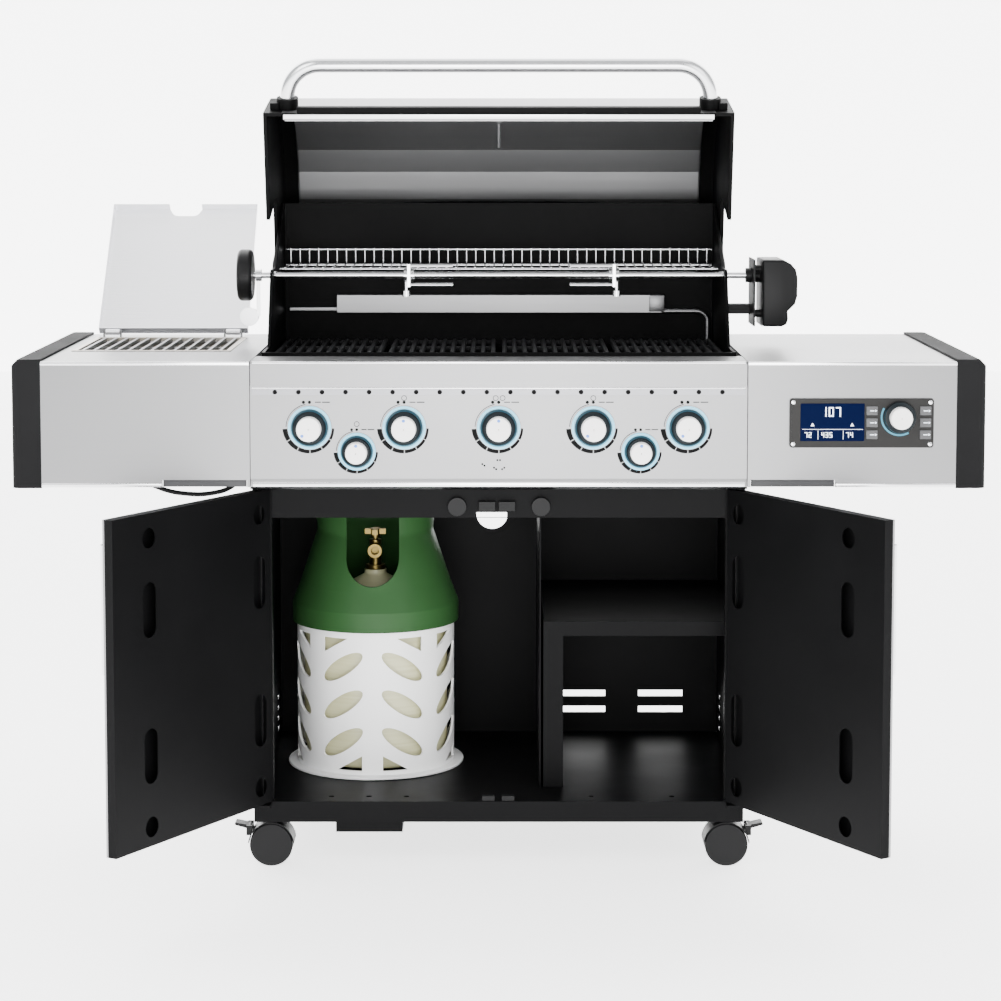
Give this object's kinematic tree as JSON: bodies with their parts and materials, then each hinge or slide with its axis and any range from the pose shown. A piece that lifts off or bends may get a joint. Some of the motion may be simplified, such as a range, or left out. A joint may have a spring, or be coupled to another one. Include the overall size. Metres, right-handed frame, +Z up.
{
  "type": "gas barbecue grill",
  "caption": "Free-standing gas barbecue with an open lid, cabinet with open doors and gas bottle, side shelves with a side burner and a controller, rotisserie and castors.",
  "frame": {"origin": "on the floor, under the middle of the cabinet's width, 250 mm behind the front edge of the base shelf", "axes": "+X to the right seen from the front, +Y to the back, +Z up"},
  "size_m": [1.6256, 1.0298, 1.393],
  "materials": {
    "stainless": "brushed",
    "black_paint": "satin powder coat",
    "cast_black": "satin black on cast aluminium",
    "cast_iron": "seasoned",
    "chrome": "polished",
    "steel_dark": "matte",
    "brass": "machined",
    "cap_grey": "fine texture",
    "black_plastic": "satin",
    "knob_cap": "satin white",
    "caster_black": "satin",
    "rubber": "matte",
    "bottle_green": "satin",
    "bottle_white": "satin",
    "vessel": "translucent composite"
  },
  "bodies": {
    "grill": {"base_shelf": "black_paint", "cabinet_sides": "black_paint", "cabinet_back": "black_paint", "front_rail": "black_paint", "door_catches": "black_plastic", "inner_shelf": "black_paint", "cookbox": "cast_black", "burner_tubes": "stainless", "heat_shields": "stainless", "gas_manifold": "brass", "control_panel": "stainless", "side_lead": "rubber", "side_shelf_left": "stainless", "side_shelf_right": "stainless", "end_caps": "cap_grey", "side_burner": "stainless", "controller_housing": "black_plastic", "rear_burner": "stainless", "rotisserie_motor": "black_plastic"},
    "lid": {"lid_shell": "stainless", "lid_liner": "stainless", "lid_handle": "chrome", "lid_castings": "cast_black"},
    "door_left": {"door_left_skin": "stainless", "door_left_liner": "black_paint", "door_left_handle": "chrome"},
    "door_right": {"door_right_skin": "stainless", "door_right_liner": "black_paint", "door_right_handle": "chrome"},
    "side_burner_lid": {"side_burner_lid": "stainless"},
    "side_grate": {"side_grate": "stainless"},
    "cooking_grids": {"cooking_grids": "cast_iron"},
    "warming_rack": {"warming_rack": "chrome"},
    "grease_tray": {"grease_tray": "steel_dark"},
    "spit": {"spit_rod": "chrome", "spit_handle": "black_plastic"},
    "spit_fork_left": {"spit_fork_left": "chrome"},
    "spit_fork_right": {"spit_fork_right": "chrome"},
    "gas_bottle": {"bottle_sleeve": "bottle_white", "bottle_vessel": "vessel", "bottle_shroud": "bottle_green"},
    "bottle_handwheel": {"bottle_handwheel": "brass"},
    "controller_knob": {"controller_knob": "knob_cap"},
    "knob_burner_1": {"knob_burner_1": "knob_cap"},
    "knob_burner_2": {"knob_burner_2": "knob_cap"},
    "knob_burner_3": {"knob_burner_3": "knob_cap"},
    "knob_burner_4": {"knob_burner_4": "knob_cap"},
    "knob_burner_5": {"knob_burner_5": "knob_cap"},
    "knob_side_burner": {"knob_side_burner": "knob_cap"},
    "knob_rear_burner": {"knob_rear_burner": "knob_cap"},
    "castor_fork_front_left": {"castor_fork_front_left": "black_plastic"},
    "castor_wheel_front_left": {"castor_wheel_front_left": "caster_black"},
    "castor_fork_rear_left": {"castor_fork_rear_left": "black_plastic"},
    "castor_wheel_rear_left": {"castor_wheel_rear_left": "caster_black"},
    "castor_fork_front_right": {"castor_fork_front_right": "black_plastic"},
    "castor_wheel_front_right": {"castor_wheel_front_right": "caster_black"},
    "castor_fork_rear_right": {"castor_fork_rear_right": "black_plastic"},
    "castor_wheel_rear_right": {"castor_wheel_rear_right": "caster_black"},
    "brake_lever_left": {"brake_lever_left": "black_plastic"},
    "brake_lever_right": {"brake_lever_right": "black_plastic"}
  },
  "joints": [
    {"name": "lid_hinge", "type": "hinge", "parent": "grill", "child": "lid", "pos_m": [0, 0.114, 0.996], "axis": [1, 0, 0], "range_deg": [0, 74]},
    {"name": "door_left_hinge", "type": "hinge", "parent": "grill", "child": "door_left", "pos_m": [-0.406, -0.264, 0.387], "axis": [0, 0, 1], "range_deg": [0, 121]},
    {"name": "door_right_hinge", "type": "hinge", "parent": "grill", "child": "door_right", "pos_m": [0.406, -0.264, 0.387], "axis": [0, 0, -1], "range_deg": [0, 121]},
    {"name": "side_burner_lid_hinge", "type": "hinge", "parent": "grill", "child": "side_burner_lid", "pos_m": [-0.606, 0.182, 0.892], "axis": [1, 0, 0], "range_deg": [0, 134]},
    {"name": "knob_burner_1_turn", "type": "hinge", "parent": "grill", "child": "knob_burner_1", "pos_m": [-0.315, -0.355, 0.773], "axis": [0, -1, 0], "range_deg": [-135, 135]},
    {"name": "knob_burner_2_turn", "type": "hinge", "parent": "grill", "child": "knob_burner_2", "pos_m": [-0.1575, -0.355, 0.773], "axis": [0, -1, 0], "range_deg": [0, 270]},
    {"name": "knob_burner_3_turn", "type": "hinge", "parent": "grill", "child": "knob_burner_3", "pos_m": [0, -0.355, 0.773], "axis": [0, -1, 0], "range_deg": [0, 270]},
    {"name": "knob_burner_4_turn", "type": "hinge", "parent": "grill", "child": "knob_burner_4", "pos_m": [0.1575, -0.355, 0.773], "axis": [0, -1, 0], "range_deg": [-135, 135]},
    {"name": "knob_burner_5_turn", "type": "hinge", "parent": "grill", "child": "knob_burner_5", "pos_m": [0.315, -0.355, 0.773], "axis": [0, -1, 0], "range_deg": [-135, 135]},
    {"name": "knob_side_burner_turn", "type": "hinge", "parent": "grill", "child": "knob_side_burner", "pos_m": [-0.2365, -0.355, 0.733], "axis": [0, -1, 0], "range_deg": [0, 270]},
    {"name": "knob_rear_burner_turn", "type": "hinge", "parent": "grill", "child": "knob_rear_burner", "pos_m": [0.2365, -0.355, 0.733], "axis": [0, -1, 0], "range_deg": [0, 270]},
    {"name": "controller_knob_turn", "type": "hinge", "parent": "grill", "child": "controller_knob", "pos_m": [0.667, -0.355, 0.791], "axis": [0, -1, 0], "continuous": true},
    {"name": "castor_swivel_front_left", "type": "hinge", "parent": "grill", "child": "castor_fork_front_left", "pos_m": [-0.375, -0.222, 0.09], "axis": [0, 0, 1], "continuous": true},
    {"name": "castor_roll_front_left", "type": "hinge", "parent": "castor_fork_front_left", "child": "castor_wheel_front_left", "pos_m": [-0.393, -0.222, 0.037], "axis": [0, 1, 0], "continuous": true},
    {"name": "castor_swivel_rear_left", "type": "hinge", "parent": "grill", "child": "castor_fork_rear_left", "pos_m": [-0.375, 0.236, 0.09], "axis": [0, 0, 1], "continuous": true},
    {"name": "castor_roll_rear_left", "type": "hinge", "parent": "castor_fork_rear_left", "child": "castor_wheel_rear_left", "pos_m": [-0.393, 0.236, 0.037], "axis": [0, 1, 0], "continuous": true},
    {"name": "castor_swivel_front_right", "type": "hinge", "parent": "grill", "child": "castor_fork_front_right", "pos_m": [0.375, -0.222, 0.09], "axis": [0, 0, 1], "continuous": true},
    {"name": "castor_roll_front_right", "type": "hinge", "parent": "castor_fork_front_right", "child": "castor_wheel_front_right", "pos_m": [0.393, -0.222, 0.037], "axis": [0, 1, 0], "continuous": true},
    {"name": "castor_swivel_rear_right", "type": "hinge", "parent": "grill", "child": "castor_fork_rear_right", "pos_m": [0.375, 0.236, 0.09], "axis": [0, 0, 1], "continuous": true},
    {"name": "castor_roll_rear_right", "type": "hinge", "parent": "castor_fork_rear_right", "child": "castor_wheel_rear_right", "pos_m": [0.393, 0.236, 0.037], "axis": [0, 1, 0], "continuous": true},
    {"name": "brake_left_press", "type": "hinge", "parent": "castor_fork_front_left", "child": "brake_lever_left", "pos_m": [-0.431, -0.222, 0.065], "axis": [0, -1, 0], "range_deg": [0, 25]},
    {"name": "brake_right_press", "type": "hinge", "parent": "castor_fork_front_right", "child": "brake_lever_right", "pos_m": [0.431, -0.222, 0.065], "axis": [0, 1, 0], "range_deg": [0, 25]},
    {"name": "spit_turn", "type": "hinge", "parent": "grill", "child": "spit", "pos_m": [0, -0.01, 1.009], "axis": [1, 0, 0], "continuous": true},
    {"name": "spit_fork_left_slide", "type": "slide", "parent": "spit", "child": "spit_fork_left", "axis": [1, 0, 0], "range_m": [-0.15, 0.1]},
    {"name": "spit_fork_right_slide", "type": "slide", "parent": "spit", "child": "spit_fork_right", "axis": [1, 0, 0], "range_m": [-0.1, 0.14]},
    {"name": "bottle_pull_out", "type": "slide", "parent": "grill", "child": "gas_bottle", "axis": [0, 1, 0], "range_m": [-0.13, 0]},
    {"name": "bottle_valve_turn", "type": "hinge", "parent": "gas_bottle", "child": "bottle_handwheel", "pos_m": [-0.225, 0.053, 0.53], "axis": [0, 0, 1], "range_deg": [0, 540]},
    {"name": "warming_rack_lift", "type": "slide", "parent": "grill", "child": "warming_rack", "axis": [0, 0, -1], "range_m": [-0.06, 0]},
    {"name": "cooking_grids_lift", "type": "slide", "parent": "grill", "child": "cooking_grids", "axis": [0, 0, -1], "range_m": [-0.03, 0]},
    {"name": "side_grate_lift", "type": "slide", "parent": "grill", "child": "side_grate", "axis": [0, 0, -1], "range_m": [-0.06, 0]},
    {"name": "grease_tray_slide", "type": "slide", "parent": "grill", "child": "grease_tray", "axis": [0, 1, 0], "range_m": [0, 0.25]}
  ]
}
